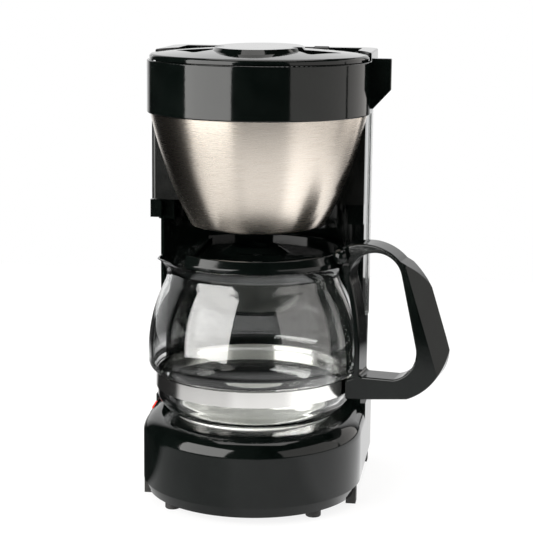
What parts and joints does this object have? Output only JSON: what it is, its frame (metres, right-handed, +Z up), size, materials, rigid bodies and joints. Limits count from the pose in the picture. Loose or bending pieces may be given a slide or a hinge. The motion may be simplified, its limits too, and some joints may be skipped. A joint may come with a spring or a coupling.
{
  "type": "drip coffee maker",
  "caption": "Upright drip coffee maker with a swing-out steel-skinned filter basket, hinged lid, glass carafe with loop handle, water tank and warming plate.",
  "frame": {"origin": "middle of the whole object's footprint at the level of the feet", "axes": "+Z up, -Y to the front where the carafe comes out, +X to the right where the handle points"},
  "size_m": [0.1876, 0.159, 0.274],
  "materials": {
    "gloss_black": "high gloss moulded",
    "matte_black": "satin moulded",
    "brushed_steel": "brushed round the cone",
    "chrome_band": "polished",
    "carafe_glass": "clear, faint green at the edges",
    "clear_strip": "clear moulded strip",
    "red_lens": "translucent, lit",
    "dark_rubber": "matte",
    "grey_seal": "silicone",
    "clear_silicone": "milky silicone",
    "coated_plate": "light heat-proof coating",
    "cast_aluminium": "cast",
    "zinc_screw": "zinc plated",
    "white_plastic": "moulded",
    "white_sleeve": "glass fibre sleeve",
    "fine_mesh": "fine woven mesh",
    "ball_pin": "glossy ball ends"
  },
  "bodies": {
    "body": {"base_housing": "gloss_black", "bottom_cover": "gloss_black", "cover_screws": "zinc_screw", "front_feet": "dark_rubber", "post_feet": "dark_rubber", "warming_plate": "coated_plate", "plate_seal": "grey_seal", "heating_element": "cast_aluminium", "heater_clamp": "zinc_screw", "clamp_screw": "zinc_screw", "thermostat": "zinc_screw", "thermal_fuse": "white_sleeve", "cold_hose_lower": "clear_silicone", "cold_hose_upper": "clear_silicone", "hot_hose": "clear_silicone", "check_valve": "white_plastic", "tower_housing": "gloss_black", "tower_screws": "zinc_screw", "tank_window": "clear_strip", "riser_tube": "white_plastic", "shower_arm": "matte_black", "switch_bezel": "matte_black", "switch_body": "matte_black", "cord_gland": "dark_rubber", "tank_collar": "gloss_black", "lid_pins": "zinc_screw", "basket_pins": "zinc_screw"},
    "lid": {"lid": "gloss_black"},
    "basket": {"basket_holder": "matte_black", "basket_band": "gloss_black", "steel_cone": "brushed_steel", "pull_tab": "gloss_black", "valve_cage": "matte_black", "valve_spring": "zinc_screw"},
    "filter": {"filter_frame": "matte_black", "filter_mesh": "fine_mesh"},
    "valve": {"valve_plunger": "white_plastic", "valve_gasket": "grey_seal"},
    "carafe": {"carafe_glass": "carafe_glass", "carafe_band": "chrome_band", "carafe_handle": "gloss_black", "band_screw": "zinc_screw", "carafe_lid_pin": "ball_pin"},
    "carafe_lid": {"carafe_lid": "gloss_black"},
    "rocker": {"switch_rocker": "red_lens"},
    "ball": {"check_ball": "white_plastic"}
  },
  "joints": [
    {"name": "lid_hinge", "type": "hinge", "parent": "body", "child": "lid", "pos_m": [-0.02633, 0.072, 0.268], "axis": [-1, 0, 0], "range_deg": [0, 100]},
    {"name": "basket_swing", "type": "hinge", "parent": "body", "child": "basket", "pos_m": [-0.09033, 0.0075, 0.21], "axis": [0, 0, -1], "range_deg": [0, 95]},
    {"name": "filter_lift", "type": "slide", "parent": "basket", "child": "filter", "axis": [0, 0, 1], "range_m": [0, 0.009]},
    {"name": "valve_slide", "type": "slide", "parent": "basket", "child": "valve", "axis": [0, 0, 1], "range_m": [0, 0.003], "stiffness_N_per_m": 150, "springref_m": -0.002, "deforming": ["valve_spring"]},
    {"name": "carafe_slide", "type": "slide", "parent": "body", "child": "carafe", "axis": [0, -1, 0], "range_m": [0, 0.2]},
    {"name": "carafe_lid_hinge", "type": "hinge", "parent": "carafe", "child": "carafe_lid", "pos_m": [0.02981, -0.0184, 0.1535], "axis": [0.1736, 0.9848, 0], "range_deg": [0, 4]},
    {"name": "rocker_tilt", "type": "hinge", "parent": "body", "child": "rocker", "pos_m": [-0.0908, 0.0085, 0.046], "axis": [-0.5446, 0, -0.8387], "range_deg": [0, 8]},
    {"name": "ball_lift", "type": "slide", "parent": "body", "child": "ball", "axis": [0, 0, 1], "range_m": [0, 0.003]}
  ]
}
